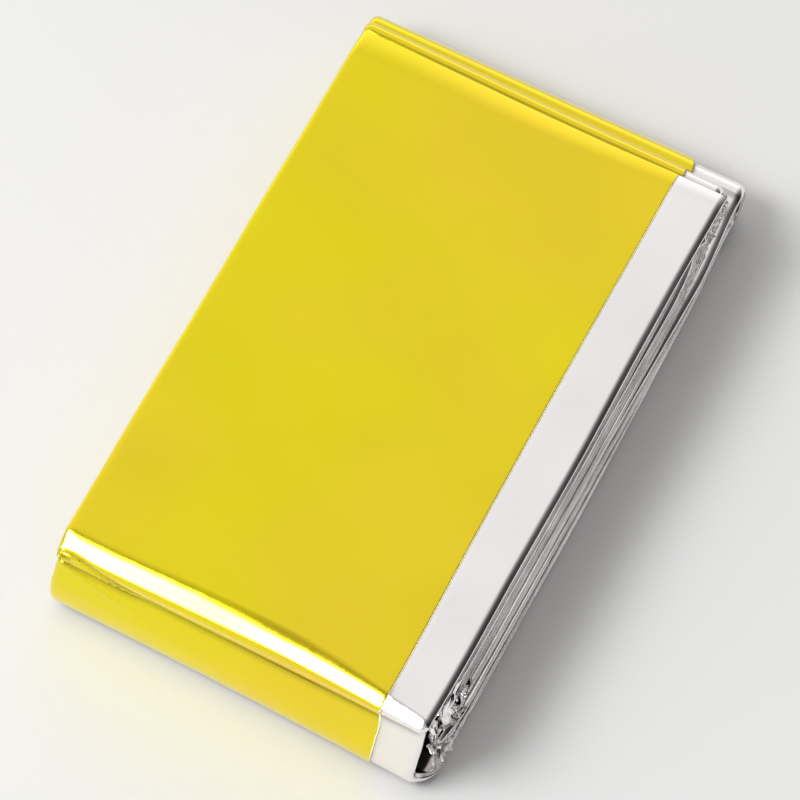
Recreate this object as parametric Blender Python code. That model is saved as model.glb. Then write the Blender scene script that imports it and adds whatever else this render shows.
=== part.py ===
# Folded emergency foil blanket: one long sheet, folded lengthwise into a narrow
# strip and then halved again and again along its length into a small flat pack.
# The section is one unbroken sheet that runs back and forth through eight layers.
import math
from collections import namedtuple

import bpy

MM = 0.001

# Sheet
THICK = 2.45           # one layer of the strip, many films pressed together
GAP = 0.85             # air between two layers
PITCH = THICK + GAP
COUNT = 8              # layers in the pack
HEIGHT = COUNT * THICK + (COUNT - 1) * GAP

# Top panel: the gold film stops short of the right edge, where the silver one shows
LIP = 0.3              # how far the silver strip lies below the gold film
LIP_RUN = 0.35         # width of that step
BOUND_FAR = 27.2       # x of the gold film's cut edge at the far end
BOUND_NEAR = 27.9      # the same at the near ridge
FAR_TAPER = 1.1        # how much the top layer thins towards its far end
FAR_TAPER_RUN = 0.06   # share of the top layer's length over which it thins

# Each row is one layer, top first. Distances are from the near ridge (y) and
# from the middle of the top panel (x). "near" and "far" are where a fold starts.
Layer = namedtuple("Layer", "near far_left far_right right_near right_mid right_late right_far left_near left_far")
LAYERS = {
    1: Layer(1.7, 118.6, 118.4, 36.9, 36.8, 36.9, 37.1, -37.5, -37.9),
    2: Layer(8.6, 118.0, 117.7, 36.5, 36.4, 36.5, 36.6, -37.4, -37.8),
    3: Layer(12.0, 121.6, 121.9, 37.9, 37.7, 37.8, 37.0, -37.6, -39.2),
    4: Layer(13.6, 121.6, 121.9, 37.7, 38.1, 38.0, 36.8, -37.4, -39.0),
    5: Layer(13.6, 126.0, 127.2, 38.4, 38.3, 38.3, 37.3, -37.6, -40.4),
    6: Layer(12.0, 123.4, 124.4, 38.6, 38.2, 38.4, 36.9, -37.5, -40.0),
    7: Layer(8.6, 123.4, 124.4, 39.0, 38.7, 38.8, 37.2, -37.8, -40.2),
    8: Layer(1.2, 126.0, 127.2, 39.3, 39.1, 39.2, 37.2, -37.9, -40.5),
}

# The sheet's way through the layers. It starts and ends at the far end.
ORDER = (1, 8, 5, 4, 3, 6, 7, 2)

# Each row is one fold between two layers. "reach" is how far the middle of the
# sheet goes past the fold's start, "square" how square its round is (2 is round),
# "lip" the gold film's step there and "bound" the place of its cut edge.
Fold = namedtuple("Fold", "end reach square steps lip bound")
FOLDS = {
    (8, 5): Fold("far", 3.55, 2.5, 10, 0.9, 25.6),
    (5, 4): Fold("near", 1.7, 2.0, 6, 0.0, 27.9),
    (4, 3): Fold("far", 1.65, 2.0, 8, 0.3, 26.7),
    (3, 6): Fold("near", 3.4, 2.5, 8, 0.0, 27.9),
    (6, 7): Fold("far", 1.65, 2.0, 6, 0.0, 27.0),
    (7, 2): Fold("near", 4.1, 3.0, 10, 0.0, 27.9),
}

# The outermost near fold, from the ridge down to the foot, with a pinched crease
# partway. "out" and "down" place its outer face from the top face and the ridge,
# "in_out" and "in_down" its inner one. "flare" is how much further out it goes at
# the right, "right" and "left" are its side edges, "bound" is the gold film's edge.
Face = namedtuple("Face", "out down in_out in_down flare right left bound")
FACE_DROP = 25.9       # drop of the whole face in the table below
NEAR_FACE = (
    Face(0.00, 0.06, -1.05, 2.46, 0.0, 36.9, -37.5, 27.9),
    Face(1.00, 0.40, -0.60, 2.52, 0.0, 36.9, -37.4, 27.8),
    Face(1.75, 1.25, -0.30, 2.72, 0.0, 36.8, -37.3, 27.7),
    Face(2.20, 2.70, -0.10, 3.30, 0.0, 36.7, -37.4, 27.6),
    Face(2.50, 4.60, 0.12, 4.80, 0.05, 36.6, -37.5, 27.5),
    Face(2.60, 6.60, 0.25, 6.60, 0.10, 36.5, -37.6, 27.4),
    Face(2.40, 8.05, 0.20, 7.80, 0.15, 36.4, -37.6, 27.3),
    Face(1.85, 8.90, 0.20, 8.80, 0.20, 36.3, -37.5, 27.3),
    Face(2.55, 9.75, 0.35, 9.90, 0.45, 36.3, -37.7, 27.8),
    Face(3.30, 11.4, 0.95, 11.8, 0.75, 36.3, -37.9, 27.8),
    Face(3.85, 14.0, 1.45, 14.2, 1.20, 36.2, -38.1, 27.7),
    Face(4.10, 17.2, 1.70, 17.2, 1.60, 36.2, -38.2, 27.7),
    Face(4.05, 20.2, 1.65, 20.0, 1.80, 36.1, -38.2, 27.6),
    Face(3.40, 22.8, 1.15, 21.8, 1.75, 36.7, -38.1, 27.6),
    Face(2.20, 24.6, 0.40, 22.9, 1.20, 37.9, -37.9, 27.6),
    Face(0.60, 25.4, -0.45, 23.4, 0.40, 38.9, -37.8, 27.6),
)

# Stations along a layer, as shares of its length from the near end
OUTER_STATIONS = (0.0, 0.035, 0.09, 0.2, 0.36, 0.52, 0.68, 0.82, 0.92, 0.97, 1.0)
INNER_STATIONS = (0.0, 0.08, 0.3, 0.55, 0.8, 1.0)
NEAR_END = 0.09        # share of a layer over which its right edge comes from the fold
LATE = 0.82            # share of a layer where its right edge starts to turn in

# Side edges, from the outer face round to the inner one: inset from the edge and
# the place in the sheet's thickness. Two bulges are two of the strip's folds.
Edge = namedtuple("Edge", "inset share")
RIGHT_EDGE = (Edge(0.40, 0.94), Edge(0.0, 0.74), Edge(0.38, 0.50), Edge(0.0, 0.26), Edge(0.40, 0.06))
LEFT_EDGE = (Edge(0.45, 0.06), Edge(0.0, 0.28), Edge(0.0, 0.72), Edge(0.45, 0.94))
FLAT_INSET = 1.4       # where a layer becomes flat beside its edge
ACROSS = (0.22, 0.46, 0.72)  # stations between the left edge and the gold film's edge

# Swell and lift of the layers: none at the bottom, most at the top
SWELL = 0.32
SWELL_LONG = 47.0      # length of one wave along the pack
SWELL_WIDE = 62.0      # length of one wave across it
LIFT = 0.75            # the top two layers stand off the rest at the far right
LIFT_X = (12.0, 37.0)
LIFT_Y = (40.0, 112.0)
LIFT_LAYERS = 2


def smooth(value, low, high):
    """Rise from 0 to 1 between low and high, with no sharp bend."""
    t = min(1.0, max(0.0, (value - low) / (high - low)))
    return t * t * (3.0 - 2.0 * t)


def lerp(a, b, t):
    return a + (b - a) * t


def level(layer):
    """Height of the middle of a layer above the table."""
    return THICK / 2 + (COUNT - layer) * PITCH


def right_edge(row, share):
    """Right edge of a layer at a share of its length from the near end."""
    if share < NEAR_END:
        return lerp(row.right_near, lerp(row.right_near, row.right_mid, 0.8), share / NEAR_END)
    if share < 0.5:
        start = lerp(row.right_near, row.right_mid, 0.8)
        return lerp(start, row.right_mid, (share - NEAR_END) / (0.5 - NEAR_END))
    if share < LATE:
        return lerp(row.right_mid, row.right_late, (share - 0.5) / (LATE - 0.5))
    return lerp(row.right_late, row.right_far, smooth(share, LATE, 1.0))


Sample = namedtuple("Sample", "y z right left bound lip layer trim inner flare", defaults=(None, 0.0))


def layer_samples(layer, side, to_near):
    """Samples along one layer for the left (0) or right (1) side of the strip."""
    row = LAYERS[layer]
    far = lerp(row.far_left, row.far_right, side)
    stations = OUTER_STATIONS if layer in (1, 8) else INNER_STATIONS
    out = []
    for share in stations:
        trim = 0.0
        if layer == 1:
            trim = FAR_TAPER * smooth(share, 1.0 - FAR_TAPER_RUN, 1.0)
        out.append(Sample(
            y=lerp(row.near, far, share),
            z=level(layer),
            right=right_edge(row, share),
            left=lerp(row.left_near, row.left_far, share),
            bound=lerp(BOUND_NEAR, BOUND_FAR, smooth(share, 0.0, 0.5)),
            lip=LIP,
            layer=layer,
            trim=trim,
        ))
    return out[::-1] if to_near else out


def fold_samples(first, second, side):
    """Samples round one inner fold, from its first layer to its second."""
    fold = FOLDS[(first, second)]
    a, b = LAYERS[first], LAYERS[second]
    if fold.end == "far":
        start = lerp(a.far_left, a.far_right, side)
        sign = 1.0
        right_a, right_b, left_a, left_b = a.right_far, b.right_far, a.left_far, b.left_far
        edge = BOUND_FAR
    else:
        start = a.near
        sign = -1.0
        right_a, right_b, left_a, left_b = a.right_near, b.right_near, a.left_near, b.left_near
        edge = BOUND_NEAR
    middle = (level(first) + level(second)) / 2
    half = (level(first) - level(second)) / 2
    out = []
    for i in range(1, fold.steps):
        turn = math.pi * i / fold.steps
        c, s = math.cos(turn), math.sin(turn)
        z = middle + half * math.copysign(abs(c) ** (2 / fold.square), c)
        y = start + sign * fold.reach * s ** (2 / fold.square)
        t = i / fold.steps
        out.append(Sample(
            y=y,
            z=z,
            right=lerp(right_a, right_b, t),
            left=lerp(left_a, left_b, t),
            bound=lerp(edge, fold.bound, s),
            lip=lerp(LIP, fold.lip, s),
            layer=lerp(first, second, t),
            trim=0.0,
        ))
    return out


def near_face_samples():
    """Samples down the outermost near fold. y and z are of its outer face."""
    scale = HEIGHT / FACE_DROP
    return [Sample(
        y=-row.out,
        z=HEIGHT - row.down * scale,
        right=row.right,
        left=row.left,
        bound=row.bound,
        lip=LIP,
        layer=lerp(1, COUNT, row.down / FACE_DROP),
        trim=0.0,
        inner=(-row.in_out, HEIGHT - row.in_down * scale),
        flare=row.flare,
    ) for row in NEAR_FACE]


def normals(points):
    """Unit normals of a line of (y, z) points, to the sheet's outer side."""
    out = []
    for i in range(len(points)):
        a = points[max(0, i - 1)]
        b = points[min(len(points) - 1, i + 1)]
        ty, tz = b[0] - a[0], b[1] - a[1]
        if a[1] == points[i][1] or b[1] == points[i][1]:
            # Beside a straight run the sheet lies flat
            tz = 0.0
        size = math.hypot(ty, tz)
        out.append((tz / size, -ty / size))
    return out


def section(side):
    """The sheet on one side of the strip: samples with outer and inner points and normals."""
    samples = []
    for i, layer in enumerate(ORDER):
        samples += layer_samples(layer, side, to_near=i % 2 == 0)
        if i == 0:
            samples += near_face_samples()
        elif i < len(ORDER) - 1:
            samples += fold_samples(layer, ORDER[i + 1], side)
    around = normals([middle_of(s) for s in samples])
    out = []
    for s, (ny, nz) in zip(samples, around):
        if s.inner:
            outer, inner = (s.y, s.z), s.inner
        else:
            outer = (s.y + ny * THICK / 2, s.z + nz * (THICK / 2 - s.trim))
            inner = (s.y - ny * THICK / 2, s.z - nz * THICK / 2)
        out.append((s, outer, inner, (ny, nz)))
    return out


def middle_of(sample):
    """Middle of the sheet at a sample."""
    if sample.inner:
        return ((sample.y + sample.inner[0]) / 2, (sample.z + sample.inner[1]) / 2)
    return (sample.y, sample.z)


def ring(left, right):
    """One loop of points round the strip, between its left and right side rows."""
    s = right[0]
    width = s.right - s.left
    flat_left = s.left + FLAT_INSET
    flat_right = s.right - FLAT_INSET
    points = []
    spots = [(flat_left, 1.0, 0.0)]
    spots += [(lerp(flat_left, s.bound, a), 1.0, 0.0) for a in ACROSS]
    spots += [(s.bound, 1.0, 0.0), (s.bound + LIP_RUN, 1.0, s.lip), (flat_right, 1.0, s.lip)]
    spots += [(s.right - e.inset, e.share, s.lip * e.share) for e in RIGHT_EDGE]
    spots += [(flat_right, 0.0, 0.0), (s.bound, 0.0, 0.0)]
    spots += [(lerp(flat_left, s.bound, a), 0.0, 0.0) for a in reversed(ACROSS)]
    spots += [(flat_left, 0.0, 0.0)]
    spots += [(s.left + e.inset, e.share, 0.0) for e in LEFT_EDGE]
    for x, share, sink in spots:
        u = (x - s.left) / width
        outer = [lerp(left[1][k], right[1][k], u) for k in (0, 1)]
        inner = [lerp(left[2][k], right[2][k], u) for k in (0, 1)]
        normal = [lerp(left[3][k], right[3][k], u) for k in (0, 1)]
        y = lerp(inner[0], outer[0], share) - normal[0] * sink - s.flare * u * u
        z = lerp(inner[1], outer[1], share) - normal[1] * sink
        points.append((x, y, z + rise(x, y, z, s.layer)))
    return points


def rise(x, y, z, layer):
    """Slow swell of the pack, and the gap that opens under the top two layers."""
    height = z / HEIGHT
    swell = SWELL * math.sin(2 * math.pi * y / SWELL_LONG + 0.6) * math.cos(2 * math.pi * x / SWELL_WIDE)
    lift = 0.0
    if layer <= LIFT_LAYERS:
        lift = LIFT * smooth(x, *LIFT_X) * smooth(y, *LIFT_Y)
    return swell * height * height + lift


def build_sheet():
    left, right = section(0.0), section(1.0)
    rings = [ring(a, b) for a, b in zip(left, right)]
    count = len(rings[0])
    points = [p for r in rings for p in r]
    faces = []
    for i in range(len(rings) - 1):
        for j in range(count):
            k = (j + 1) % count
            faces.append((i * count + j, (i + 1) * count + j, (i + 1) * count + k, i * count + k))
    faces += cap(0, False)
    faces += cap((len(rings) - 1) * count, True)
    return points, faces


def cap(start, turned):
    """Close a free end of the sheet, over the loop whose points begin at start."""
    tops = len(ACROSS) + 4
    rights = len(RIGHT_EDGE)
    flat_right = tops + rights
    flat_left = flat_right + len(ACROSS) + 2
    bound = len(ACROSS) + 1
    out = []
    # The flat part, in quads between its upper and lower stations
    for i in range(bound):
        out.append((i, i + 1, flat_left - i - 1, flat_left - i))
    out.append((bound, bound + 1, flat_right + 1))
    out.append((bound + 1, bound + 2, flat_right, flat_right + 1))
    # The right edge on both sides of its groove, then the left edge
    groove = tops + rights // 2
    for i in range(tops - 1, groove):
        if i > tops - 1:
            out.append((tops - 1, i, i + 1))
    out.append((tops - 1, groove, flat_right))
    for i in range(groove, flat_right - 1):
        out.append((flat_right, i, i + 1))
    for i in range(flat_left + 1, flat_left + len(LEFT_EDGE)):
        out.append((flat_left, i, i + 1))
    out.append((flat_left, flat_left + len(LEFT_EDGE), 0))
    placed = [tuple(start + i for i in face) for face in out]
    return [face[::-1] for face in placed] if turned else placed


def centred(points):
    """Move the pack so that it stands on z = 0 with its middle over the origin."""
    low = [min(p[k] for p in points) for k in range(3)]
    high = [max(p[k] for p in points) for k in range(3)]
    shift = ((low[0] + high[0]) / 2, (low[1] + high[1]) / 2, low[2])
    return [tuple((p[k] - shift[k]) * MM for k in range(3)) for p in points]


def foil(name):
    mat = bpy.data.materials.new(name)
    mat.use_nodes = True
    shader = mat.node_tree.nodes["Principled BSDF"]
    shader.inputs["Base Color"].default_value = (0.83, 0.66, 0.12, 1.0)
    shader.inputs["Metallic"].default_value = 0.9
    shader.inputs["Roughness"].default_value = 0.3
    return mat


for obj in list(bpy.data.objects):
    bpy.data.objects.remove(obj, do_unlink=True)

sheet_points, sheet_faces = build_sheet()
mesh = bpy.data.meshes.new("blanket")
mesh.from_pydata(centred(sheet_points), [], sheet_faces)
mesh.update()
mesh.materials.append(foil("gold_foil"))
blanket = bpy.data.objects.new("blanket", mesh)
bpy.context.scene.collection.objects.link(blanket)
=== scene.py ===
import math
from collections import namedtuple

import bpy
import numpy as np
from mathutils import Matrix, Vector


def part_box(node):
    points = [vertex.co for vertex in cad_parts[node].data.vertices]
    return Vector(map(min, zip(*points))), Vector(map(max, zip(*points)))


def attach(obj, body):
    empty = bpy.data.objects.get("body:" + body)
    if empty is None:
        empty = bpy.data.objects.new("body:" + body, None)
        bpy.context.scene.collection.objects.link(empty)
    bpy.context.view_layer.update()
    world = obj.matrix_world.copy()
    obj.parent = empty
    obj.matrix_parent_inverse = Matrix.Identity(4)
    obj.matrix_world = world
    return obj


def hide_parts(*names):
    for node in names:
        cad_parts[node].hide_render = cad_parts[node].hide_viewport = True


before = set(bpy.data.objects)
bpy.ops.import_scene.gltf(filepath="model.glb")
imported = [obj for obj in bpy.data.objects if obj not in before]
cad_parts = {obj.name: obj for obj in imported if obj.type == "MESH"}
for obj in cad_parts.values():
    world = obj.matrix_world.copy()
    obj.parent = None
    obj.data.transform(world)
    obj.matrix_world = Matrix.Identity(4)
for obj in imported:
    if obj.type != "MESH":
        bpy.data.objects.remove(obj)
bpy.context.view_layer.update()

MM = 0.001

# The pack's own sizes, in millimetres from the near ridge (y), the middle of the
# top panel (x) and the table (z)
THICK, GAP, COUNT = 2.45, 0.85, 8
PITCH = THICK + GAP
HEIGHT = COUNT * THICK + (COUNT - 1) * GAP
LIP = 0.3
BOUND_FAR, BOUND_NEAR = 27.2, 27.9
# The top layer thins towards its far end: over this run at the left and at the right
TAPER_RUN, TAPER_SLOPE, TAPER_POWER = (6.5, 3.2), 0.25, 1.7
# The folds at the far end are fatter than their layers: from these places at the left
# and the right of an upper layer, over a short rise, until their turn to a lower one
BEAD, BEAD_RISE = 0.42, 1.9
BEADS = {(3, 4): (120.6, 120.7), (5, 8): (125.6, 125.9)}
# At the right, the folds inside the near end lean out towards its face
TUCK, TUCK_X, TUCK_Y = 3.3, (27.0, 37.0), (5.0, 17.0)
# The crease under the ridge: its way down the near face as (x, down), half width, depth
GROOVE = (
    (-38.0, 2.2), (-34.5, 2.6), (-31.0, 3.4), (-28.0, 4.4), (-24.0, 5.8), (-19.0, 6.5), (-12.0, 6.9), (0.0, 7.0),
    (20.0, 7.1), (28.0, 7.3), (33.0, 7.5), (38.0, 8.2),
)
GROOVE_WIDE, GROOVE_DEPTH = 0.6, 0.6
# At their right ends the nested near folds are dented
DENT, DENT_X = 0.42, (26.0, 33.0)
NEAR_END, LATE = 0.09, 0.82
SWELL, SWELL_LONG, SWELL_WIDE = 0.32, 47.0, 62.0
LIFT, LIFT_X, LIFT_Y, LIFT_LAYERS = 0.75, (12.0, 37.0), (40.0, 112.0), 2

Layer = namedtuple("Layer", "near far_left far_right right_near right_mid right_late right_far left_near left_far")
LAYERS = {
    1: Layer(2.4, 118.6, 118.4, 36.9, 37.15, 36.8, 37.0, -37.5, -37.9),
    2: Layer(8.6, 118.0, 117.7, 37.4, 37.6, 37.2, 36.6, -37.4, -37.8),
    3: Layer(12.0, 121.6, 121.9, 37.9, 38.05, 38.2, 36.9, -37.6, -39.2),
    4: Layer(13.6, 121.6, 121.9, 38.8, 38.75, 38.3, 36.8, -37.4, -39.0),
    5: Layer(13.6, 126.0, 127.2, 38.2, 38.3, 38.8, 37.6, -37.6, -40.4),
    6: Layer(12.0, 123.4, 124.4, 39.2, 38.95, 38.5, 37.3, -37.5, -40.0),
    7: Layer(8.6, 123.4, 124.4, 38.4, 38.3, 38.3, 37.3, -37.8, -40.2),
    8: Layer(1.2, 126.0, 127.2, 39.1, 38.9, 38.2, 37.2, -37.9, -40.5),
}
ORDER = (1, 8, 5, 4, 3, 6, 7, 2)
Fold = namedtuple("Fold", "end reach square lip bound")
FOLDS = {
    (8, 5): Fold("far", 3.55, 2.5, 0.9, 25.6),
    (5, 4): Fold("near", 1.7, 2.0, 0.0, 27.9),
    (4, 3): Fold("far", 1.65, 2.0, 0.3, 26.7),
    (3, 6): Fold("near", 3.4, 2.5, 0.0, 27.9),
    (6, 7): Fold("far", 1.65, 2.0, 0.0, 27.0),
    (7, 2): Fold("near", 4.1, 3.0, 0.0, 27.9),
}
Face = namedtuple("Face", "out down in_out in_down flare right left bound pull rise")
FACE_DROP = 25.9
NEAR_FACE = (
    Face(-1.71, 0.00, -1.71, 2.45, 0.0, 36.9, -37.5, 27.9, 3.60, 0.0),
    Face(-0.61, 0.12, -1.12, 2.51, 0.0, 36.9, -37.5, 27.9, 3.07, 0.05),
    Face(0.45, 0.46, -0.55, 2.70, 0.0, 36.9, -37.4, 27.9, 2.58, 0.21),
    Face(1.41, 1.01, -0.04, 2.99, 0.0, 36.9, -37.4, 27.8, 2.13, 0.47),
    Face(1.97, 1.49, 0.27, 3.25, 0.0, 36.8, -37.4, 27.8, 1.87, 0.70),
    Face(2.47, 2.04, 0.50, 3.54, 0.0, 36.8, -37.4, 27.8, 1.63, 0.95),
    Face(2.75, 2.51, 0.60, 3.75, 0.0, 36.7, -37.4, 27.7, 1.52, 1.18),
    Face(2.91, 3.04, 0.65, 4.00, 0.0, 36.7, -37.4, 27.7, 1.46, 1.42),
    Face(2.95, 3.60, 0.66, 4.30, 0.0, 36.7, -37.5, 27.6, 1.43, 1.66),
    Face(2.88, 4.40, 0.60, 4.90, 0.05, 36.6, -37.5, 27.5, 1.41, 2.05),
    Face(2.66, 5.50, 0.45, 5.70, 0.10, 36.5, -37.6, 27.4, 1.40, 2.55),
    Face(2.30, 6.65, 0.20, 6.70, 0.15, 36.4, -37.6, 27.3, 1.42, 2.85),
    Face(1.75, 7.75, 0.05, 7.80, 0.20, 36.3, -37.5, 27.3, 1.50, 3.00),
    Face(2.06, 8.50, 0.20, 8.70, 0.45, 36.3, -37.6, 27.6, 1.10, 2.70),
    Face(2.62, 10.1, 0.55, 10.3, 0.70, 36.3, -37.8, 27.8, 0.60, 2.00),
    Face(3.25, 12.4, 1.05, 12.5, 0.95, 36.3, -37.9, 27.8, 0.15, 1.10),
    Face(3.76, 14.8, 1.45, 14.9, 1.25, 36.2, -38.1, 27.7, 0.0, 0.40),
    Face(4.06, 17.4, 1.70, 17.3, 1.60, 36.2, -38.2, 27.7, 0.0, 0.0),
    Face(4.05, 20.2, 1.65, 20.0, 1.80, 36.1, -38.2, 27.6, 0.0, 0.0),
    Face(3.40, 22.8, 1.15, 21.8, 1.75, 36.7, -38.1, 27.6, 0.0, 0.0),
    Face(2.20, 24.6, 0.40, 22.9, 1.20, 37.9, -37.9, 27.6, 0.0, 0.0),
    Face(0.60, 25.4, -0.45, 23.4, 0.40, 38.9, -37.8, 27.6, 0.0, 0.0),
)
CREASE_ROW = 12
# The right end of the ridge is drawn towards the crease: from this x, over this run,
# and its pull on the top panel fades by this y
CORNER_X, CORNER_RUN, CORNER_POWER = 6.0, 31.0, 1.8
CORNER_FADE = (2.3, 15.0)

# Where the CAD solid puts the ridge's own origin
low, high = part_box("blanket")
SHIFT_X = 0.6
SHIFT_Y = -63.155


def lerp(a, b, t):
    return a + (b - a) * t


def smooth(value, a, b):
    t = np.clip((value - a) / (b - a), 0.0, 1.0)
    return t * t * (3.0 - 2.0 * t)


def level(layer):
    return THICK / 2 + (COUNT - layer) * PITCH


def right_edge(row, share):
    if share < NEAR_END:
        return lerp(row.right_near, lerp(row.right_near, row.right_mid, 0.8), share / NEAR_END)
    if share < 0.5:
        start = lerp(row.right_near, row.right_mid, 0.8)
        return lerp(start, row.right_mid, (share - NEAR_END) / (0.5 - NEAR_END))
    if share < LATE:
        return lerp(row.right_mid, row.right_late, (share - 0.5) / (LATE - 0.5))
    return lerp(row.right_late, row.right_far, float(smooth(share, LATE, 1.0)))


# One row for each place along the sheet: y and z of its middle (or of its outer
# face on the near fold), on the left and the right side of the strip
Row = namedtuple("Row", "y_left y_right z right left bound lip layer trim in_y in_z flare side down pull rise")


def run_rows(layer, count, ends):
    """Rows along a layer, closer together at its ends."""
    row = LAYERS[layer]
    out = []
    for i in range(count):
        t = i / (count - 1)
        share = lerp(t, 0.5 - 0.5 * math.cos(math.pi * t), ends)
        trim = 0.0
        near = lerp(row.near, row.far_left, share)
        pull = NEAR_FACE[0].pull * (1.0 - float(smooth(near, *CORNER_FADE))) if layer == 1 else 0.0
        out.append(Row(
            lerp(row.near, row.far_left, share), lerp(row.near, row.far_right, share), level(layer),
            right_edge(row, share), lerp(row.left_near, row.left_far, share),
            lerp(BOUND_NEAR, BOUND_FAR, float(smooth(share, 0.0, 0.5))), LIP, layer, trim, None, None, 0.0, "run", 0.0, pull, 0.0,
        ))
    return out


def fold_rows(first, second, steps):
    fold = FOLDS[(first, second)]
    a, b = LAYERS[first], LAYERS[second]
    if fold.end == "far":
        starts, sign, edge = (a.far_left, a.far_right), 1.0, BOUND_FAR
        sides = (a.right_far, b.right_far, a.left_far, b.left_far)
    else:
        starts, sign, edge = (a.near, a.near), -1.0, BOUND_NEAR
        sides = (a.right_near, b.right_near, a.left_near, b.left_near)
    middle = (level(first) + level(second)) / 2
    half = (level(first) - level(second)) / 2
    out = []
    for i in range(1, steps):
        t = i / steps
        c, s = math.cos(math.pi * t), math.sin(math.pi * t)
        z = middle + half * math.copysign(abs(c) ** (2 / fold.square), c)
        reach = sign * fold.reach * s ** (2 / fold.square)
        out.append(Row(
            starts[0] + reach, starts[1] + reach, z, lerp(sides[0], sides[1], t), lerp(sides[2], sides[3], t),
            lerp(edge, fold.bound, s), lerp(LIP, fold.lip, s), lerp(first, second, t), 0.0, None, None, 0.0,
            fold.end, 0.0, 0.0, 0.0,
        ))
    return out


def face_rows(parts):
    """Rows down the near fold, eased between those of its table but sharp at the crease."""
    table = [Face(-2.4, 0.0, -2.4, 2.45, 0.0, 36.9, -37.5, 27.9, 3.60, 0.0)] + list(NEAR_FACE)
    table.append(Face(-1.2, FACE_DROP, -1.2, 23.45, 0.0, 39.3, -37.9, 27.6, 0.0, 0.0))
    data = np.array(table, float)
    crease = CREASE_ROW + 1
    out = []
    scale = HEIGHT / FACE_DROP
    for i in range(len(table) - 1):
        a, b = data[i], data[i + 1]
        before = data[i - 1] if i > 0 and i != crease else a - (b - a)
        after = data[i + 2] if i + 2 < len(table) and i + 1 != crease else b + (b - a)
        for j in range(parts):
            if i == 0 and j == 0:
                continue
            t = j / parts
            p = 0.5 * (2 * a + (b - before) * t + (2 * before - 5 * a + 4 * b - after) * t * t
                       + (3 * a - before - 3 * b + after) * t ** 3)
            f = Face(*p)
            out.append(Row(
                -f.out, -f.out, HEIGHT - f.down * scale, f.right, f.left, f.bound, LIP,
                lerp(1, COUNT, f.down / FACE_DROP), 0.0, -f.in_out, HEIGHT - f.in_down * scale, f.flare,
                "face", f.down, f.pull, f.rise * scale,
            ))
    return out


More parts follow.
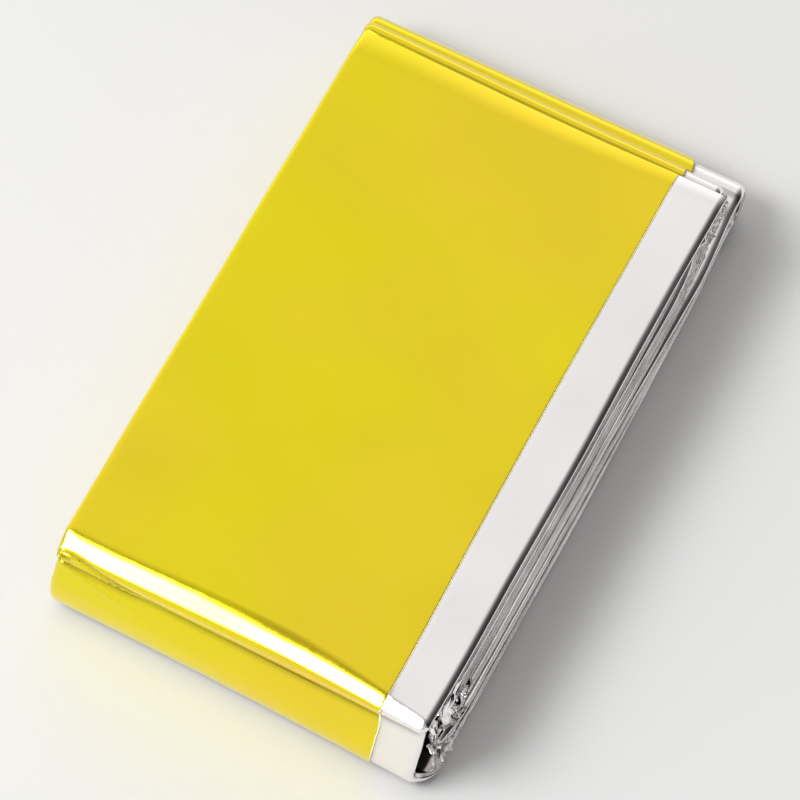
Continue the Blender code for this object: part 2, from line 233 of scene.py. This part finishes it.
class Path:
    """The sheet's way through the pack, ready to place points on it."""

    def __init__(self, runs, face_parts, fold_steps, ends=0.75):
        rows = []
        for i, layer in enumerate(ORDER):
            run = run_rows(layer, runs.get(layer, runs[0]), ends)
            rows += run[::-1] if i % 2 == 0 else run
            if i == 0:
                rows += face_rows(face_parts)
            elif i < len(ORDER) - 1:
                rows += fold_rows(layer, ORDER[i + 1], fold_steps)
        self.rows = rows
        n = len(rows)
        column = lambda k: np.array([getattr(r, k) or 0.0 for r in rows], float)
        self.right, self.left = column("right"), column("left")
        self.bound, self.lip, self.layer = column("bound"), column("lip"), column("layer")
        self.trim, self.flare, self.down = column("trim"), column("flare"), column("down")
        self.pull, self.rise = column("pull"), column("rise")
        self.given = np.array([r.in_y is not None for r in rows])
        self.side = np.array([r.side for r in rows])
        z, in_y, in_z = column("z"), column("in_y"), column("in_z")
        self.outer, self.inner, self.normal = [], [], []
        for name in ("y_left", "y_right"):
            y = column(name)
            my = np.where(self.given, (y + in_y) / 2, y)
            mz = np.where(self.given, (z + in_z) / 2, z)
            ty, tz = np.gradient(my), np.gradient(mz)
            flat = (~self.given) & ((np.roll(mz, 1) == mz) | (np.roll(mz, -1) == mz))
            tz = np.where(flat, 0.0, tz)
            size = np.hypot(ty, tz)
            ny, nz = tz / size, -ty / size
            self.outer.append((np.where(self.given, y, my + ny * THICK / 2),
                               np.where(self.given, z, mz + nz * (THICK / 2 - self.trim))))
            self.inner.append((np.where(self.given, in_y, my - ny * THICK / 2),
                               np.where(self.given, in_z, mz - nz * THICK / 2)))
            oy, oz = self.outer[-1]
            gy, gz = np.gradient(oy), np.gradient(oz)
            gs = np.hypot(gy, gz)
            self.normal.append((np.where(self.given, gz / gs, ny), np.where(self.given, -gy / gs, nz)))
        self.mid_y = (self.outer[0][0] + self.inner[0][0]) / 2
        self.mid_z = (self.outer[0][1] + self.inner[0][1]) / 2

    def place(self, x, depth, push=None):
        """Points at x and at a depth under the outer face, pushed out along its normal.
        x, depth and push have a row for each place along the path."""
        u = (x - self.left[:, None]) / (self.right - self.left)[:, None]
        at = lambda pair, k: pair[0][k][:, None] * (1 - u) + pair[1][k][:, None] * u
        oy, oz, iy, iz = at(self.outer, 0), at(self.outer, 1), at(self.inner, 0), at(self.inner, 1)
        ny, nz = at(self.normal, 0), at(self.normal, 1)
        share = depth / THICK
        corner = np.clip((x - CORNER_X) / CORNER_RUN, 0.0, 1.1) ** CORNER_POWER
        y = lerp(oy, iy, share) - self.flare[:, None] * u * u - self.pull[:, None] * corner
        z = lerp(oz, iz, share) + self.rise[:, None] * corner
        middle = np.interp(x, *zip(*GROOVE))
        sunk = GROOVE_DEPTH * np.exp(-((self.down[:, None] - middle) / GROOVE_WIDE) ** 2) * (1.0 - share)
        sunk = sunk * smooth(x, -37.5, -33.0) * (1.0 - 0.55 * smooth(x, -22.0, -8.0))
        dent = DENT * ridges(x, self.mid_z[:, None] - 0.7 * self.mid_y[:, None]) * smooth(x, *DENT_X)
        shape = np.where((self.side == "near")[:, None], dent, np.where(self.given[:, None], -sunk, 0.0))
        push = shape if push is None else push + shape
        y = y + ny * push
        z = z + nz * push
        inside = ((self.layer > 1.5) & (self.layer < 7.5) & (self.side != "face"))[:, None]
        y = y - np.where(inside, TUCK * smooth(x, *TUCK_X) * (1.0 - smooth(y, *TUCK_Y)), 0.0)
        run = lerp(*TAPER_RUN, u)
        end = lerp(LAYERS[1].far_left, LAYERS[1].far_right, u)
        thin = np.clip((y - end + run) / run, 0.0, 1.1) ** TAPER_POWER
        z = z - np.where(self.layer[:, None] < 1.001, TAPER_SLOPE * run * thin * (1.0 - 0.75 * share), 0.0)
        height = z / HEIGHT
        swell = SWELL * np.sin(2 * np.pi * y / SWELL_LONG + 0.6) * np.cos(2 * np.pi * x / SWELL_WIDE)
        lift = np.where(self.layer[:, None] <= LIFT_LAYERS, LIFT * smooth(x, *LIFT_X) * smooth(y, *LIFT_Y), 0.0)
        z = z + swell * height * height + lift
        return np.stack([(x + SHIFT_X) * MM, (y + SHIFT_Y) * MM, z * MM], axis=-1)


rng = np.random.default_rng(11)


def waves(count, low_size, high_size, seed):
    """A smooth uneven function of two places, from a few crossing waves. About -1 to 1."""
    r = np.random.default_rng(seed)
    size = np.exp(r.uniform(np.log(low_size), np.log(high_size), count))
    turn = r.uniform(0, 2 * np.pi, count)
    phase = r.uniform(0, 2 * np.pi, count)
    kx, ky = 2 * np.pi * np.cos(turn) / size, 2 * np.pi * np.sin(turn) / size

    def value(a, b):
        total = 0.0
        for i in range(count):
            total = total + np.sin(kx[i] * a + ky[i] * b + phase[i])
        return total / math.sqrt(count)
    return value


def grid_mesh(name, points, materials, face_slots):
    """A mesh over rows and columns of points. face_slots has a slot for each column of faces."""
    n, m = points.shape[:2]
    index = np.arange(n * m).reshape(n, m)
    quads = np.stack([index[:-1, :-1], index[:-1, 1:], index[1:, 1:], index[1:, :-1]], axis=-1).reshape(-1, 4)
    slots = np.tile(np.asarray(face_slots), n - 1)
    quads, slots = quads[slots >= 0], slots[slots >= 0]
    mesh = bpy.data.meshes.new(name)
    mesh.vertices.add(n * m)
    mesh.vertices.foreach_set("co", points.reshape(-1).astype(np.float32))
    mesh.loops.add(quads.size)
    mesh.loops.foreach_set("vertex_index", quads.reshape(-1))
    mesh.polygons.add(len(quads))
    mesh.polygons.foreach_set("loop_start", np.arange(0, quads.size, 4))
    mesh.polygons.foreach_set("use_smooth", np.ones(len(quads), bool))
    mesh.update(calc_edges=True)
    mesh.polygons.foreach_set("material_index", slots.astype(np.int32))
    for mat in materials:
        mesh.materials.append(mat)
    mesh.validate()
    obj = bpy.data.objects.new(name, mesh)
    bpy.context.scene.collection.objects.link(obj)
    return obj


def node(tree, kind, **inputs):
    n = tree.nodes.new(kind)
    for key, value in inputs.items():
        n.inputs[key].default_value = value
    return n


# Painted shade: creases are darkened in colour by ambient occlusion, only at the two ends: from this far from the
# middle, in metres
PAINTED_SHADE_MIDDLE, PAINTED_SHADE_START, PAINTED_SHADE_FULL = -0.0021, 0.0589, 0.0614


def foil(name, deep, warm, roughness, coat, tint_size, crinkle, metallic=1.0, painted_crease_shade=None):
    """Metal-coated film: its colour drifts softly, and fine crinkles bend its reflection.
    The last argument paints shade into the colour in creases at the two ends, by ambient occlusion: it gives how
    open a crease is where the painted shade is darkest and where there is none, and the share of the colour that is
    left where it is darkest."""
    mat = bpy.data.materials.new(name)
    mat.use_nodes = True
    tree = mat.node_tree
    shader = tree.nodes["Principled BSDF"]
    shader.inputs["Metallic"].default_value = metallic
    shader.inputs["Coat Weight"].default_value = coat
    shader.inputs["Coat Roughness"].default_value = 0.06
    shader.inputs["Coat IOR"].default_value = 1.5
    coords = tree.nodes.new("ShaderNodeTexCoord")
    drift = node(tree, "ShaderNodeTexNoise", Scale=1.0 / tint_size, Detail=2.0, Roughness=0.45)
    tree.links.new(coords.outputs["Object"], drift.inputs["Vector"])
    ramp = tree.nodes.new("ShaderNodeValToRGB")
    ramp.color_ramp.elements[0].position = 0.38
    ramp.color_ramp.elements[0].color = (*deep, 1.0)
    ramp.color_ramp.elements[1].position = 0.66
    ramp.color_ramp.elements[1].color = (*warm, 1.0)
    tree.links.new(drift.outputs["Fac"], ramp.inputs["Fac"])
    if painted_crease_shade:
        # Painted shade: the base colour is darkened where ambient occlusion finds a crease, near the two ends only
        openness = node(tree, "ShaderNodeAmbientOcclusion", Distance=0.003)
        openness.samples = 4
        share = node(tree, "ShaderNodeMapRange")
        share.inputs["From Min"].default_value = painted_crease_shade[0]
        share.inputs["From Max"].default_value = painted_crease_shade[1]
        share.inputs["To Max"].default_value = 1.0
        place = tree.nodes.new("ShaderNodeSeparateXYZ")
        tree.links.new(coords.outputs["Object"], place.inputs["Vector"])
        from_middle = tree.nodes.new("ShaderNodeMath")
        from_middle.operation = "SUBTRACT"
        from_middle.inputs[1].default_value = PAINTED_SHADE_MIDDLE
        tree.links.new(place.outputs["Y"], from_middle.inputs[0])
        distance = tree.nodes.new("ShaderNodeMath")
        distance.operation = "ABSOLUTE"
        tree.links.new(from_middle.outputs[0], distance.inputs[0])
        deepest_painted_shade = node(tree, "ShaderNodeMapRange")
        deepest_painted_shade.inputs["From Min"].default_value = PAINTED_SHADE_START
        deepest_painted_shade.inputs["From Max"].default_value = PAINTED_SHADE_FULL
        deepest_painted_shade.inputs["To Min"].default_value = 1.0
        deepest_painted_shade.inputs["To Max"].default_value = painted_crease_shade[2]
        tree.links.new(distance.outputs[0], deepest_painted_shade.inputs["Value"])
        tree.links.new(deepest_painted_shade.outputs["Result"], share.inputs["To Min"])
        tree.links.new(openness.outputs["AO"], share.inputs["Value"])
        scaled = tree.nodes.new("ShaderNodeVectorMath")
        scaled.operation = "SCALE"
        tree.links.new(ramp.outputs["Color"], scaled.inputs[0])
        tree.links.new(share.outputs["Result"], scaled.inputs["Scale"])
        tree.links.new(scaled.outputs["Vector"], shader.inputs["Base Color"])
    else:
        tree.links.new(ramp.outputs["Color"], shader.inputs["Base Color"])
    scuff = node(tree, "ShaderNodeTexNoise", Scale=140.0, Detail=4.0, Roughness=0.6)
    tree.links.new(coords.outputs["Object"], scuff.inputs["Vector"])
    spread = tree.nodes.new("ShaderNodeMapRange")
    spread.inputs["From Min"].default_value = 0.3
    spread.inputs["From Max"].default_value = 0.75
    spread.inputs["To Min"].default_value = roughness * 0.8
    spread.inputs["To Max"].default_value = roughness * 1.3
    tree.links.new(scuff.outputs["Fac"], spread.inputs["Value"])
    tree.links.new(spread.outputs["Result"], shader.inputs["Roughness"])
    fine = node(tree, "ShaderNodeTexNoise", Scale=260.0, Detail=3.0, Roughness=0.5)
    tree.links.new(coords.outputs["Object"], fine.inputs["Vector"])
    bump = node(tree, "ShaderNodeBump", Strength=crinkle, Distance=0.00004)
    tree.links.new(fine.outputs["Fac"], bump.inputs["Height"])
    tree.links.new(bump.outputs["Normal"], shader.inputs["Normal"])
    return mat


gold = foil("gold_film", (0.88, 0.745, 0.003), (0.92, 0.695, 0.020), 0.09, 0.45, 0.045, 0.3)
silver = foil("silver_film", (0.94, 0.915, 0.912), (0.97, 0.945, 0.945), 0.10, 0.3, 0.04, 0.3)
cut_edge = foil("cut_edge_film", (0.34, 0.31, 0.18), (0.36, 0.33, 0.20), 0.5, 0.0, 0.03, 0.2, metallic=0.0)
# The outer film's materials carry painted shade in their creases at the two ends
gold_outer = foil("gold_film_painted_crease_shade", (0.89, 0.755, 0.003), (0.93, 0.705, 0.020), 0.09, 0.45, 0.045, 0.3,
                  painted_crease_shade=(0.84, 0.985, 0.20))
silver_outer = foil("silver_film_painted_crease_shade", (0.96, 0.93, 0.927), (0.98, 0.955, 0.955), 0.10, 0.3, 0.04, 0.3,
                    painted_crease_shade=(0.85, 0.99, 0.20))

# The outer film: the gold panel from its cut edge to the left fold, then the silver
# one under it, which shows as the strip, to its own fold at the right
FAN = {
    1: (-0.2, 0.8, 1.2), 2: (0.9, 0.0, 0.8), 3: (0.9, 0.65, 0.0), 4: (0.25, 0.15, 0.05),
    5: (0.1, 0.15, 0.0), 6: (0.3, 0.2, 0.0), 7: (0.1, 0.1, 0.0), 8: (0.1, 0.15, 0.0),
}


def fan_inset(path, kind):
    """How far right folds stand back: 0 the outer film's, 1 the first and 2 the last under it."""
    turning = np.interp(path.layer, range(1, 9), [FAN[i][kind] for i in range(1, 9)])
    on_face = np.interp(path.layer, (1, 8), (FAN[1][kind], FAN[8][kind]))
    return np.where(path.side == "face", on_face, turning)


folded = waves(10, 0.9, 2.6, 31)
facets = waves(9, 2.2, 6.0, 32)
pinched = waves(8, 0.9, 2.4, 33)


def ridges(a, b):
    """Sharp-edged crumples, from about -1 in their valleys to 1 on their ridges."""
    return 1.0 - 1.7 * np.abs(pinched(a, b))


def crumple(path, offset):
    """How far the right folds are crushed in, near both ends of the pack."""
    y, z = path.mid_y, path.mid_z
    inside = smooth(path.layer, 1.2, 1.9) * np.where(path.side == "face", 0.0, 1.0)
    near = 1.0 - smooth(y, 5.0, 15.0)
    far = smooth(y, 95.0, 110.0) * (1.0 - smooth(path.layer, 4.2, 4.8))
    shape = 0.55 * (1.0 - 1.6 * np.abs(facets(y + offset, z))) + 0.45 * (1.0 - 1.6 * np.abs(folded(y, z + offset)))
    return inside * (near * (0.4 + 0.8 * shape) + far * (0.7 + 0.8 * shape))


# Creases down the near face at its left end: points (x, down), half width, height
CREASES = (
    (((-37.5, 5.0), (-34.5, 5.6), (-32.5, 5.2), (-30.5, 5.5), (-27.0, 6.1), (-23.5, 6.7), (-17.0, 7.3)), 0.50, 0.42),
    (((-37.0, 6.9), (-33.3, 7.2), (-30.0, 7.4), (-27.0, 7.7), (-19.0, 8.1)), 0.45, -0.17),
    (((-37.5, 8.8), (-33.0, 9.6), (-28.0, 10.8), (-20.0, 12.6)), 0.60, 0.24),
)
PINCH = (-36.4, 4.0, 1.9, 2.0)

outer = Path({0: 38, 1: 120}, 4, 16, 0.97)
outer.right = outer.right - fan_inset(outer, 0)
n = len(outer.rows)
swirl = waves(9, 26.0, 70.0, 3)
ripple = waves(12, 5.0, 14.0, 5)

columns, depths, slots = [], [], []


def column(x, depth, slot):
    columns.append(np.broadcast_to(x, n))
    depths.append(np.broadcast_to(depth, n))
    slots.append(slot)


GOLD, SILVER, CUT = 0, 1, 2
column(outer.bound + 0.16, outer.lip - 0.02, CUT)
column(outer.bound + 0.06, 0.17, CUT)
column(outer.bound - 0.04, 0.06, GOLD)
column(outer.bound - 0.18, 0.02, GOLD)
column(outer.bound - 0.36, 0.005, GOLD)
column(outer.bound - 0.6, 0.0, GOLD)
PANEL_STEPS = 42
for i in range(PANEL_STEPS):
    column(lerp(outer.bound - 1.6, outer.left + 1.5, i / (PANEL_STEPS - 1)), 0.0, GOLD)
for inset, depth in ((1.15, 0.02), (0.85, 0.07), (0.55, 0.17), (0.3, 0.31), (0.1, 0.50), (0.0, 0.72), (0.08, 0.92), (0.35, 1.02), (1.2, 1.0)):
    column(outer.left + inset, depth, GOLD)
HIDDEN_STEPS = 9
for i in range(HIDDEN_STEPS):
    share = i / (HIDDEN_STEPS - 1)
    column(lerp(outer.left + 3.0, outer.bound - 2.0, share), 1.0, SILVER)
column(outer.bound - 0.6, outer.lip + 0.2, SILVER)
STRIP_STEPS = 10
for i in range(STRIP_STEPS):
    column(lerp(outer.bound + 0.24, outer.right - 1.7, i / (STRIP_STEPS - 1)), outer.lip, SILVER)
RIGHT_ROUND = (
    (1.5, 0.0), (1.3, 0.01), (1.1, 0.045), (0.9, 0.115), (0.7, 0.22), (0.5, 0.36), (0.3, 0.54), (0.1, 0.75),
    (0.0, 0.88), (0.0, 1.25), (0.12, 1.42), (0.5, 1.5), (1.4, 1.5), (5.0, 1.4),
)
for inset, depth in RIGHT_ROUND:
    column(outer.right - inset, outer.lip + depth, SILVER)
xs = np.stack(columns, axis=1)
ds = np.stack(depths, axis=1)
ys = outer.mid_y[:, None]
reach_in = np.clip((xs - outer.right[:, None] + 4.0) / 3.0, 0.0, 1.0)
xs = xs - reach_in * crumple(outer, 0.0)[:, None]
push = 0.014 * swirl(xs, ys) * np.ones_like(xs)
push = push + 0.004 * ripple(xs, ys)
u = (xs - outer.left[:, None]) / (outer.right - outer.left)[:, None]
for (upper, lower), starts in BEADS.items():
    on = (outer.layer >= upper - 0.001) & (outer.layer <= lower + 0.001)
    past = np.where(on, 1.0 - smooth(outer.layer, upper, (upper + lower) / 2), 0.0)[:, None]
    ends_y = outer.outer[0][0][:, None] * (1 - u) + outer.outer[1][0][:, None] * u
    start = lerp(*starts, u)
    push = push + BEAD * past * smooth(ends_y, start, start + BEAD_RISE)
# The near left corner is pinched: creases run from it down the near face
for route, half_width, height in CREASES:
    x_of, down_of = zip(*route)
    middle = np.interp(xs, x_of, down_of)
    across = (outer.down[:, None] - middle) / half_width
    along = smooth(xs, x_of[0] - 0.8, x_of[0]) * (1.0 - smooth(xs, x_of[-1] - 6.0, x_of[-1]))
    push = push + np.where(outer.given[:, None], height * along * np.exp(-across ** 2), 0.0)
pinch = np.exp(-((xs - PINCH[0]) / PINCH[2]) ** 2 - ((outer.down[:, None] - PINCH[1]) / PINCH[3]) ** 2)
push = push + np.where(outer.given[:, None], pinch * (0.3 * ridges(xs, outer.down[:, None]) - 0.15), 0.0)
film = grid_mesh("outer_film", outer.place(xs, ds, push), [gold_outer, silver_outer, cut_edge], slots[:-1])

# The rest of the strip: panels folded back and forth under the outer film. Their
# right folds are a piece of their own, with closer rows where the ends are crumpled
PANELS = 41
TOP_DEPTH, LAST_DEPTH = 1.42, 2.42
SEAM = 2.6
GROUP = 4
slow = waves(8, 18.0, 60.0, 21)
quick = waves(10, 2.2, 7.0, 22)


def group_inset(path, k, side):
    """Uneven ends: folds lie in bundles, each further in or out than the next."""
    group = k // GROUP
    within = abs((k % GROUP) - (GROUP - 1) / 2) / ((GROUP - 1) / 2)
    run = path.mid_y
    bundle = 0.5 + 0.5 * slow(run * 0.6 + 40.0 * group, path.layer * 31.0 + group * 23.0 + side * 400.0)
    single = slow(run + 13.0 * k, path.layer * 17.0 + k * 7.0 + side * 90.0)
    fine = quick(run, path.layer * 5.0 + k * 3.1 + side * 70.0)
    return 0.20 * np.clip(bundle, 0.0, 1.0) + 0.10 * within ** 2 + 0.06 * single + 0.02 * fine


def panel_depth(k):
    return lerp(TOP_DEPTH, LAST_DEPTH, np.clip(k / (PANELS - 1), 0.0, 1.0))


inner = Path({0: 15, 1: 22}, 2, 10, 0.85)
columns, depths, slots = [], [], []
for k in range(PANELS):
    share = k / (PANELS - 1)
    left = inner.left + 0.2 + group_inset(inner, k // 2, 1) + 0.4 * abs(2 * share - 0.8) ** 2
    seam = inner.right - SEAM
    spots = [left + 0.2] + [lerp(left, seam, f) for f in (0.1, 0.32, 0.55, 0.78)] + [seam]
    if k % 2:
        spots = [left] + spots
        columns += spots
        depths += [np.full(len(inner.rows), panel_depth(k - 0.5))] + [np.full(len(inner.rows), panel_depth(k))] * (len(spots) - 1)
        slots += [GOLD] + [GOLD] * (len(spots) - 2) + [-1]
    else:
        columns += spots[::-1]
        depths += [np.full(len(inner.rows), panel_depth(k))] * len(spots)
        slots += [SILVER] * (len(spots) - 1) + [GOLD]
xs = np.stack(columns, axis=1)
ds = np.stack(depths, axis=1)
stack = grid_mesh("inner_films", inner.place(xs, ds), [gold, silver], slots[:-1])

close = Path({0: 90}, 5, 16, 0.85)
columns, depths, slots = [], [], []
FOLD_SHAPE = ((0.0, 0.0), (0.9, 0.06), (1.0, 0.5), (0.9, 0.94), (0.0, 1.0))
for k in range(0, PANELS - 1, 2):
    share = (k + 0.5) / (PANELS - 1)
    inset = lerp(fan_inset(close, 1), fan_inset(close, 2), share)
    tip = close.right - inset - group_inset(close, k // 2, 0) - crumple(close, 0.05 * k)
    seam = close.right - SEAM
    for along, turn in FOLD_SHAPE:
        columns.append(lerp(seam, tip, along))
        depths.append(np.full(len(close.rows), panel_depth(k + turn)))
        slots.append(SILVER)
    slots[-1] = -1
xs = np.stack(columns, axis=1)
ds = np.stack(depths, axis=1)
ends = grid_mesh("fold_ends", close.place(xs, ds), [gold, silver], slots[:-1])

for piece in (film, stack, ends):
    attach(piece, "root")
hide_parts("blanket")

area = lambda o: sum(p.area for p in o.data.polygons)
print("AREAS", area(film), area(stack), area(ends), len(film.data.polygons), len(stack.data.polygons), len(ends.data.polygons))

# Floor
floor_mesh = bpy.data.meshes.new("floor")
FLOOR = 3.0
floor_mesh.from_pydata([(-FLOOR, -FLOOR, 0), (FLOOR, -FLOOR, 0), (FLOOR, FLOOR, 0), (-FLOOR, FLOOR, 0)], [], [(0, 1, 2, 3)])
floor = bpy.data.objects.new("floor", floor_mesh)
bpy.context.scene.collection.objects.link(floor)
floor.location.z = -0.0002
paper = bpy.data.materials.new("pale_floor")
paper.use_nodes = True
tree = paper.node_tree
shader = tree.nodes["Principled BSDF"]
shader.inputs["Roughness"].default_value = 0.8
grain = node(tree, "ShaderNodeTexNoise", Scale=6.0, Detail=3.0)
ramp = tree.nodes.new("ShaderNodeValToRGB")
ramp.color_ramp.elements[0].color = (0.80, 0.80, 0.80, 1.0)
ramp.color_ramp.elements[1].color = (0.83, 0.83, 0.825, 1.0)
tree.links.new(grain.outputs["Fac"], ramp.inputs["Fac"])
tree.links.new(ramp.outputs["Color"], shader.inputs["Base Color"])
floor_mesh.materials.append(paper)

# Camera: almost straight down from a long way off, turned a little in its own frame
AZ, EL, ROLL = math.radians(20.33), math.radians(62.56), math.radians(7.46)
DISTANCE = 1.229
LENS = 6726 * 36 / 800
target = Vector(((0.0 + SHIFT_X) * MM, (59.0 + SHIFT_Y) * MM, 12.0 * MM))
back = Vector((math.sin(AZ) * math.cos(EL), -math.cos(AZ) * math.cos(EL), math.sin(EL)))
right = Vector((0, 0, 1)).cross(back).normalized()
up = back.cross(right)
roll_right = math.cos(ROLL) * right + math.sin(ROLL) * up
roll_up = -math.sin(ROLL) * right + math.cos(ROLL) * up
camera_data = bpy.data.cameras.new("camera")
camera = bpy.data.objects.new("camera", camera_data)
bpy.context.scene.collection.objects.link(camera)
camera.matrix_world = Matrix((
    (roll_right.x, roll_up.x, back.x, target.x + back.x * DISTANCE),
    (roll_right.y, roll_up.y, back.y, target.y + back.y * DISTANCE),
    (roll_right.z, roll_up.z, back.z, target.z + back.z * DISTANCE),
    (0, 0, 0, 1),
))
camera_data.lens = LENS
camera_data.sensor_width = 36
camera_data.shift_x = 3.2 / 800
camera_data.shift_y = -3.7 / 800
camera_data.clip_start = 0.05
bpy.context.scene.camera = camera


def panel(name, direction, distance, width, height, radiance, long_axis, fade, bounce):
    """A light panel that faces the pack from a direction, as bright as it looks in a mirror.
    It fades out towards its edges, and bounce is its share in light that the floor passes on."""
    data = bpy.data.lights.new(name, "AREA")
    data.shape = "RECTANGLE"
    data.size = width
    data.size_y = height
    data.energy = radiance * math.pi * width * height
    data.use_nodes = True
    tree = data.node_tree
    place = tree.nodes.new("ShaderNodeNewGeometry")
    parts = tree.nodes.new("ShaderNodeSeparateXYZ")
    tree.links.new(place.outputs["Parametric"], parts.inputs["Vector"])
    path = tree.nodes.new("ShaderNodeLightPath")
    kept = node(tree, "ShaderNodeMapRange")
    kept.inputs["To Min"].default_value = 1.0
    kept.inputs["To Max"].default_value = bounce
    tree.links.new(path.outputs["Diffuse Depth"], kept.inputs["Value"])
    level = kept.outputs["Result"]
    for side in "XY":
        from_middle = tree.nodes.new("ShaderNodeMath")
        from_middle.operation = "SUBTRACT"
        from_middle.inputs[1].default_value = 0.5
        tree.links.new(parts.outputs[side], from_middle.inputs[0])
        size = tree.nodes.new("ShaderNodeMath")
        size.operation = "ABSOLUTE"
        tree.links.new(from_middle.outputs[0], size.inputs[0])
        edge = node(tree, "ShaderNodeMapRange")
        edge.interpolation_type = "SMOOTHSTEP"
        edge.inputs["From Min"].default_value = 0.5 - fade
        edge.inputs["From Max"].default_value = 0.5
        edge.inputs["To Min"].default_value = 1.0
        edge.inputs["To Max"].default_value = 0.0
        tree.links.new(size.outputs[0], edge.inputs["Value"])
        both = tree.nodes.new("ShaderNodeMath")
        both.operation = "MULTIPLY"
        tree.links.new(level, both.inputs[0])
        tree.links.new(edge.outputs["Result"], both.inputs[1])
        level = both.outputs[0]
    tree.links.new(level, tree.nodes["Emission"].inputs["Strength"])
    obj = bpy.data.objects.new(name, data)
    bpy.context.scene.collection.objects.link(obj)
    away = Vector(direction).normalized()
    side = (Vector(long_axis) - Vector(long_axis).dot(away) * away).normalized()
    other = away.cross(side)
    place = away * distance
    obj.matrix_world = Matrix((
        (other.x, side.x, away.x, place.x),
        (other.y, side.y, away.y, place.y),
        (other.z, side.z, away.z, place.z),
        (0, 0, 0, 1),
    ))
    return obj


def above(angle, across):
    """A direction by its angle from straight up towards the viewer's end, and its lean to +X."""
    a = math.radians(angle)
    return (across, -math.sin(a), math.cos(a))


def span(start, end):
    """Size of a panel a metre away that covers these degrees."""
    return 2 * math.tan(math.radians((end - start) / 2))


# In degrees from straight up towards the viewer's end
ridge_light = panel("ridge_light", above(42, -0.50), 1.0, 0.95, span(1, 83), 36.0, (0, 1, 0), 0.16, 0.04)
panel("key", (-0.45, -0.42, 0.78), 1.4, 0.8, 0.8, 13.5, (0, 0, 1), 0.3, 1.0)

# The light on the ridge is kept off the floor, which it would burn out
lit = bpy.data.collections.new("films")
lit.objects.link(film)
lit.objects.link(stack)
lit.objects.link(ends)
ridge_light.light_linking.receiver_collection = lit

# The soft studio round the pack: its brightness by the angle from straight up towards
# the viewer's end, and its share by the angle that a direction leans to +X
STUDIO_PEAK = 1.5
STUDIO = (
    (-180, 0.6), (-100, 1.25), (-85, 1.25), (-72, 1.15), (-58, 0.99), (-44, 0.85), (-33, 0.82), (-20, 0.82),
    (-12, 0.58), (-4, 0.44), (15, 0.50), (60, 0.65), (90, 0.65), (180, 0.6),
)
LEAN = ((-90, 0.95), (-50, 1.10), (-25, 1.04), (-9, 1.0), (0, 0.95), (9, 0.78), (24, 0.46), (42, 0.18), (60, 0.05), (90, 0.01))
# How far forward a direction points where the evening out starts and where it is full
FRONT, FRONT_SHARE, FRONT_LEVEL = (0.1, 0.6), 0.8, 0.95

world = bpy.data.worlds.new("studio")
bpy.context.scene.world = world
world.use_nodes = True
tree = world.node_tree
sky = tree.nodes["Background"]
sky.inputs["Color"].default_value = (1.0, 0.99, 0.98, 1.0)


def by_angle(value, operation, inputs, stops):
    """Levels at a few angles, in degrees, from a direction's parts."""
    angle = tree.nodes.new("ShaderNodeMath")
    angle.operation = operation
    for k, source in enumerate(inputs):
        tree.links.new(source, angle.inputs[k])
    low, high = stops[0][0], stops[-1][0]
    place = node(tree, "ShaderNodeMapRange")
    place.inputs["From Min"].default_value = math.radians(low)
    place.inputs["From Max"].default_value = math.radians(high)
    tree.links.new(angle.outputs[0], place.inputs["Value"])
    ramp = tree.nodes.new("ShaderNodeValToRGB")
    ramp.color_ramp.interpolation = "CARDINAL"
    points = ramp.color_ramp.elements
    while len(points) < len(stops):
        points.new(0.5)
    for point, (at, level) in zip(points, stops):
        point.position = (at - low) / (high - low)
        point.color = (level / STUDIO_PEAK,) * 3 + (1.0,)
    tree.links.new(place.outputs["Result"], ramp.inputs["Fac"])
    return ramp.outputs["Color"]


def multiply(a, b):
    product = tree.nodes.new("ShaderNodeMath")
    product.operation = "MULTIPLY"
    for k, source in enumerate((a, b)):
        if isinstance(source, float):
            product.inputs[k].default_value = source
        else:
            tree.links.new(source, product.inputs[k])
    return product.outputs[0]


coords = tree.nodes.new("ShaderNodeTexCoord")
parts = tree.nodes.new("ShaderNodeSeparateXYZ")
tree.links.new(coords.outputs["Generated"], parts.inputs["Vector"])
across = by_angle(None, "ARCSINE", [parts.outputs["X"]], LEAN)
forward = multiply(parts.outputs["Y"], -1.0)
along = by_angle(None, "ARCTAN2", [forward, parts.outputs["Z"]], STUDIO)
# The studio is dark to the right only behind the pack: in front it evens out
front = node(tree, "ShaderNodeMapRange")
front.interpolation_type = "SMOOTHSTEP"
front.inputs["From Min"].default_value = FRONT[0]
front.inputs["From Max"].default_value = FRONT[1]
front.inputs["To Max"].default_value = FRONT_SHARE
tree.links.new(forward, front.inputs["Value"])
evened = tree.nodes.new("ShaderNodeMix")
evened.inputs["B"].default_value = FRONT_LEVEL / STUDIO_PEAK
tree.links.new(front.outputs["Result"], evened.inputs["Factor"])
tree.links.new(across, evened.inputs["A"])
studio = multiply(multiply(evened.outputs["Result"], along), STUDIO_PEAK ** 2)
tree.links.new(studio, sky.inputs["Strength"])
bpy.context.scene.view_settings.view_transform = "Standard"
